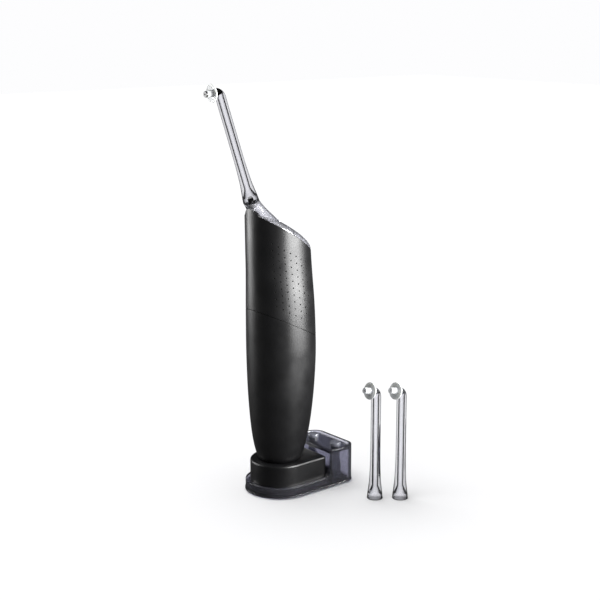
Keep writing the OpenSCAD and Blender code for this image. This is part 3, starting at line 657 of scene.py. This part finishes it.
# %% The fitted nozzle and the spares
SHARP_TUBE = 50
SEAT = (Matrix.Translation(Vector((0, -23.3, 211.8)) * MM)
        @ Matrix.Rotation(math.radians(18.8), 4, "X"))
STANDS = {"nozzle": SEAT, "spare_1": Matrix.Translation(Vector((58, 41, -0.15)) * MM),
          "spare_2": Matrix.Translation(Vector((69.2, 55, -0.15)) * MM)}
for body, place in STANDS.items():
    bm = nozzle_skin()
    bmesh.ops.transform(bm, matrix=place, verts=bm.verts)
    settle(loose(bm, body + "_clear_tube"), body, clear_pc, [body + "_tube"],
           SHARP_TUBE)
    softened(body + "_disc", body + "_cup", tip_tpe, 0.25)
    insert = jet_acetal if body == "nozzle" else pale_acetal
    softened(body + "_jet", body + "_insert", insert, 0.2)

# %% [markdown]
# ## The neck, the tank and the lid
# Neck, deck and tank are one clear moulding, and the lid hinges on it. Their nodes have the right
# form already.

# %% Neck and lid
SHARP_NECK = 40
softened("reservoir", "clear_tank", neck_pc, 0, sharp=SHARP_NECK)
softened("reservoir_lid", "clear_lid", neck_pc, 0, sharp=SHARP_NECK)

# %% [markdown]
# ## The buttons
# Both buttons are soft-edged caps of a slightly lighter plastic than the handle.

# %% Buttons
softened("activation_button", "trigger", button_abs, 0.5, 4)
softened("power_button", "power_key", button_abs, 0.5, 4)

# %% [markdown]
# ## Everything else
# The inner parts keep their nodes, and each one gets the finish of its real material. They show
# when a piece is lifted off, and through the clear plastic.

# %% Finishes of the remaining nodes
FINISHES = {
    "seam_ring": seam_abs, "bottom_cap": gloss_abs, "bottom_gasket": grey_rubber,
    "nozzle_spigot": natural_pp, "spigot_seal": black_rubber, "nozzle_key": grey_nylon,
    "hinge_pin": axle_steel, "chassis": natural_pp, "battery": sleeve, "battery_cap": brass,
    "receiving_coil": copper, "motor": steel, "gear_axle": axle_steel, "pump_cylinder": natural_pp,
    "pump_head": natural_pp, "inlet_valve": black_rubber, "water_pipe": natural_pp,
    "circuit_board": board, "button_switches": grey_nylon, "indicator_lens": lens_pc,
    "lid_seal": grey_rubber, "motor_pinion": brass, "motor_shaft": axle_steel,
    "drive_gear": gear_acetal, "pump_piston": gear_acetal, "piston_seal": black_rubber,
    "pump_spring": steel, "charger_screws": steel, "charger_coil": copper,
    "charger_core": ferrite, "charger_board": board}
for node, finish in FINISHES.items():
    mesh = frame["nodes"][node].data
    mesh.materials.clear()
    mesh.materials.append(finish)
print("nodes finished:", len(FINISHES))

# %% [markdown]
# ## The stage
# The floor is a plain pale sheet that runs on until it meets the pale backdrop light. Nothing else
# stands in view. Glossy and clear pieces would mirror so much white that their dark lines were lost,
# so every reflection sees a dimmer floor than the camera does.

# %% Floor
FLOOR_HALF, FLOOR_DROP = 4, 0.0001
bm = bmesh.new()
bmesh.ops.create_grid(bm, x_segments=1, y_segments=1, size=FLOOR_HALF)
bmesh.ops.translate(bm, vec=(0, 0, -FLOOR_DROP), verts=bm.verts)
floor = loose(bm, "floor")
material, tree = start("floor_sheet")[:2]
path = add(tree, "LightPath").node.outputs["Glossy Depth"]
pale = add(tree, "BsdfDiffuse", {"Color": linear("f7f7f8")})
dim = add(tree, "BsdfDiffuse", {"Color": linear("4a4a4a")})
floor.data.materials.append(close(material, tree, add(tree, "MixShader", {"Fac": path})))
mixed = tree.nodes["Mix Shader"]
tree.links.new(pale, mixed.inputs[1])
tree.links.new(dim, mixed.inputs[2])

# %% [markdown]
# The backdrop is a plain pale light. The camera sees it, and so does a sight line that passes
# straight through clear plastic. A sight line that has been reflected sees it nearly dark, and it
# adds little light to the pieces.

# %% Backdrop light
UNSEEN_GLOW = 0.06
world = bpy.data.worlds.new("backdrop")
bpy.context.scene.world = world
world.use_nodes = True
tree = world.node_tree
tree.nodes.clear()
rays = add(tree, "LightPath").node.outputs
through = add(tree, "Math", {"Value": rays["Is Transmission Ray"]}, operation="SUBTRACT",
              use_clamp=True)
tree.links.new(rays["Glossy Depth"], through.node.inputs[1])
seen = add(tree, "Math", {"Value": rays["Is Camera Ray"]}, operation="MAXIMUM")
tree.links.new(through, seen.node.inputs[1])
glow = add(tree, "MapRange", {"Value": seen, "To Min": UNSEEN_GLOW, "To Max": 1.0})
shine = add(tree, "Background", {"Color": linear("fdfdfe"), "Strength": glow})
add(tree, "OutputWorld", {"Surface": shine})


# %% [markdown]
# A broad soft panel at the right draws the long highlight down the handle, and a weak one at the
# left draws its edge. Both light the pieces only, so the floor stays even, and they leave out the
# clear tubes, in which they would show as white sheets. A sun as wide as an overcast sky lights the
# floor and makes the soft shadow.

# %% Soft panels
def panel(name, at, aim, width, height, watts):
    """An area light at one point that faces another, in metres"""
    light = bpy.data.lights.new(name, "AREA")
    light.shape, light.size, light.size_y = "RECTANGLE", width, height
    light.energy = watts
    lamp = bpy.data.objects.new(name, light)
    bpy.context.scene.collection.objects.link(lamp)
    lamp.location = at
    lamp.rotation_euler = (Vector(aim) - Vector(at)).to_track_quat("-Z", "Y").to_euler()
    lamp.visible_camera = lamp.visible_transmission = False
    lamp.light_linking.receiver_collection = lit_pieces


lit_pieces = bpy.data.collections.new("lit_by_panels")
for thing in bpy.context.scene.objects:
    if thing.type == "MESH" and thing != floor and "clear_tube" not in thing.name:
        lit_pieces.objects.link(thing)
panel("right_panel", (0.49, 0.25, 0.29), (0, 0, 0.2), 0.5, 0.46, 22)
panel("left_panel", (-0.62, -0.42, 0.14), (0, 0, 0.12), 0.4, 0.8, 9)

# %% Overhead light
SUN_STRENGTH, SUN_WIDTH = 3.4, math.radians(70)
SUN_LEAN = (math.radians(8), math.radians(-10), 0)
sky = bpy.data.lights.new("overhead", "SUN")
sky.energy, sky.angle = SUN_STRENGTH, SUN_WIDTH
sky_lamp = bpy.data.objects.new("overhead", sky)
sky_lamp.rotation_euler = SUN_LEAN
sky_lamp.visible_glossy = sky_lamp.visible_transmission = False
bpy.context.scene.collection.objects.link(sky_lamp)

# %% [markdown]
# ## The camera
# The camera looks from the front right, a little above, through a long lens, which keeps the upright
# lines of the handle close to upright. It is placed by its heading, its downward tilt and its
# distance from a point on the handle's axis.

# %% Camera
HEADING, TILT, DISTANCE = math.radians(51.44), math.radians(12.84), 0.9
AIM = Vector((20.4, 2.9, 143.0)) * MM
away = Vector((math.sin(HEADING) * math.cos(TILT), -math.cos(HEADING) * math.cos(TILT),
               math.sin(TILT)))
camera = bpy.data.objects.new("camera", bpy.data.cameras.new("camera"))
bpy.context.scene.collection.objects.link(camera)
camera.data.lens, camera.data.sensor_width = 78, 36
camera.location = AIM + DISTANCE * away
camera.rotation_euler = (-away).to_track_quat("-Z", "Y").to_euler()
bpy.context.scene.camera = camera
bpy.context.scene.view_settings.view_transform = "Standard"
